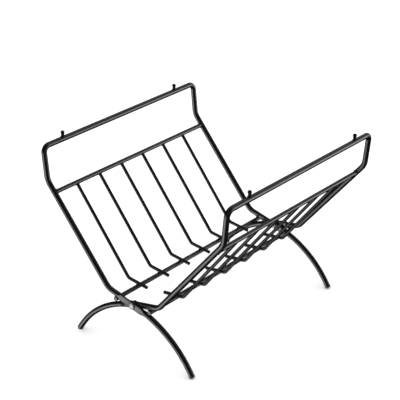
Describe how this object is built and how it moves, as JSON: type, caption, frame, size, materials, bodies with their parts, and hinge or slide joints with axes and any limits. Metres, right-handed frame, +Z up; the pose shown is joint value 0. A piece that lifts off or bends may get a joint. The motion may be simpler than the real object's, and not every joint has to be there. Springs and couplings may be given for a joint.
{
  "type": "firewood log rack",
  "caption": "Folding firewood rack: two bent-tube frames crossed on rivets, with rod grilles, curved legs and pegs on the top bars for a carrying tote.",
  "frame": {"origin": "on the floor, under the middle of the open rack", "axes": "+Z up; +Y along the pivot axis, as the logs lie, from the front end to the back end; +X from the left frame's top bar to the right frame's"},
  "size_m": [0.407, 0.4158, 0.3459],
  "materials": {
    "black_powder_coat": "satin black powder coat on steel",
    "black_plastic": "matt black moulded plastic",
    "bright_steel": "bright zinc-plated steel"
  },
  "bodies": {
    "left_frame": {"left_frame_tube": "black_powder_coat", "left_upper_crossbar": "black_powder_coat", "left_lower_crossbar": "black_powder_coat", "left_grille_rod_1": "black_powder_coat", "left_grille_rod_2": "black_powder_coat", "left_grille_rod_3": "black_powder_coat", "left_grille_rod_4": "black_powder_coat", "left_grille_rod_5": "black_powder_coat", "left_grille_rod_6": "black_powder_coat", "left_tote_peg_front": "black_powder_coat", "left_tote_peg_back": "black_powder_coat", "left_foot_plug_front": "black_plastic", "left_foot_plug_back": "black_plastic", "pivot_rivet_front": "bright_steel", "pivot_washer_front": "bright_steel", "tail_washer_front": "bright_steel", "pivot_rivet_back": "bright_steel", "pivot_washer_back": "bright_steel", "tail_washer_back": "bright_steel"},
    "right_frame": {"right_frame_tube": "black_powder_coat", "right_upper_crossbar": "black_powder_coat", "right_lower_crossbar": "black_powder_coat", "right_grille_rod_1": "black_powder_coat", "right_grille_rod_2": "black_powder_coat", "right_grille_rod_3": "black_powder_coat", "right_grille_rod_4": "black_powder_coat", "right_grille_rod_5": "black_powder_coat", "right_grille_rod_6": "black_powder_coat", "right_tote_peg_front": "black_powder_coat", "right_tote_peg_back": "black_powder_coat", "right_foot_plug_front": "black_plastic", "right_foot_plug_back": "black_plastic"}
  },
  "joints": [
    {"name": "fold", "type": "hinge", "parent": "left_frame", "child": "right_frame", "pos_m": [0, 0, 0.0938], "axis": [0, -1, 0], "range_deg": [0, 77]}
  ]
}
